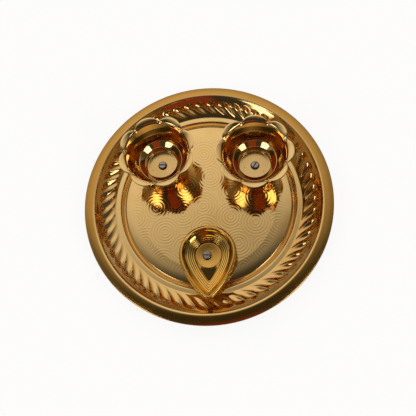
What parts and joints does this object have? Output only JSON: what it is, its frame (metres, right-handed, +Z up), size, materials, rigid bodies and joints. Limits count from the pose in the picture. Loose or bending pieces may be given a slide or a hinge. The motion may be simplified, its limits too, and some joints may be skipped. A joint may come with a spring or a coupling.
{
  "type": "aarti plate with kumkum cups and oil lamp",
  "caption": "Round pressed brass puja plate with a fluted wall, carrying scalloped kumkum cups and a teardrop oil lamp that are screwed to its floor.",
  "frame": {"origin": "centre of the plate, on the surface that its foot ring rests on", "axes": "+Z up; +Y from the plate's centre to midway between the two cups; +X right, so the lamp's spout points to about -Y"},
  "size_m": [0.18, 0.18, 0.036],
  "materials": {
    "plate_brass": "polished",
    "cup_brass": "polished",
    "foot_brass": "polished",
    "lamp_brass": "polished",
    "screw_steel": "polished",
    "washer_steel": "satin",
    "nut_steel": "satin"
  },
  "bodies": {
    "base": {"plate": "plate_brass", "left_cup_screw": "screw_steel", "right_cup_screw": "screw_steel", "lamp_screw": "screw_steel", "left_cup_washer": "washer_steel", "right_cup_washer": "washer_steel", "lamp_washer": "washer_steel", "left_cup_nut": "nut_steel", "right_cup_nut": "nut_steel", "lamp_nut": "nut_steel"},
    "left_cup": {"left_cup": "cup_brass", "left_cup_foot": "foot_brass"},
    "right_cup": {"right_cup": "cup_brass", "right_cup_foot": "foot_brass"},
    "lamp": {"lamp": "lamp_brass"}
  },
  "joints": [
    {"name": "left_cup_swivel", "type": "hinge", "parent": "base", "child": "left_cup", "pos_m": [-0.0343, 0.0267, 0.0036], "axis": [0, 0, 1], "continuous": true},
    {"name": "right_cup_swivel", "type": "hinge", "parent": "base", "child": "right_cup", "pos_m": [0.0343, 0.0267, 0.0036], "axis": [0, 0, 1], "continuous": true},
    {"name": "lamp_swivel", "type": "hinge", "parent": "base", "child": "lamp", "pos_m": [0.0012, -0.0408, 0.0036], "axis": [0, 0, 1], "continuous": true}
  ]
}
